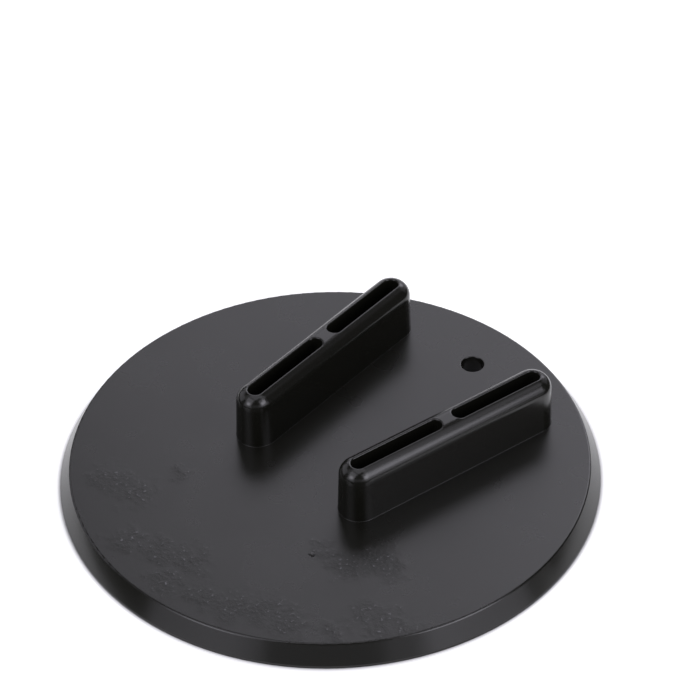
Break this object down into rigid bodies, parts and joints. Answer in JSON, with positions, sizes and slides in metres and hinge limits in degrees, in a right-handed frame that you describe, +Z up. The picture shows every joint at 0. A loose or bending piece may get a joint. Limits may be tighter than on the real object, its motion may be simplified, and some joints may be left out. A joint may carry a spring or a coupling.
{
  "type": "kickstand pad",
  "caption": "Round plastic pad with a sloping rim and splayed upright rails; it lies on soft ground and spreads the load of a motorbike's side stand, whose foot sits between the rails.",
  "frame": {"origin": "centre of the flat underside of the round plate", "axes": "+Z up out of the plate, +X along the foot channel towards its wide end and the cord hole, +Y across the channel"},
  "size_m": [0.15, 0.15, 0.0224],
  "materials": {
    "pad": "satin black moulded plastic"
  },
  "bodies": {
    "root": {"kickstand_pad": "pad"}
  },
  "joints": []
}
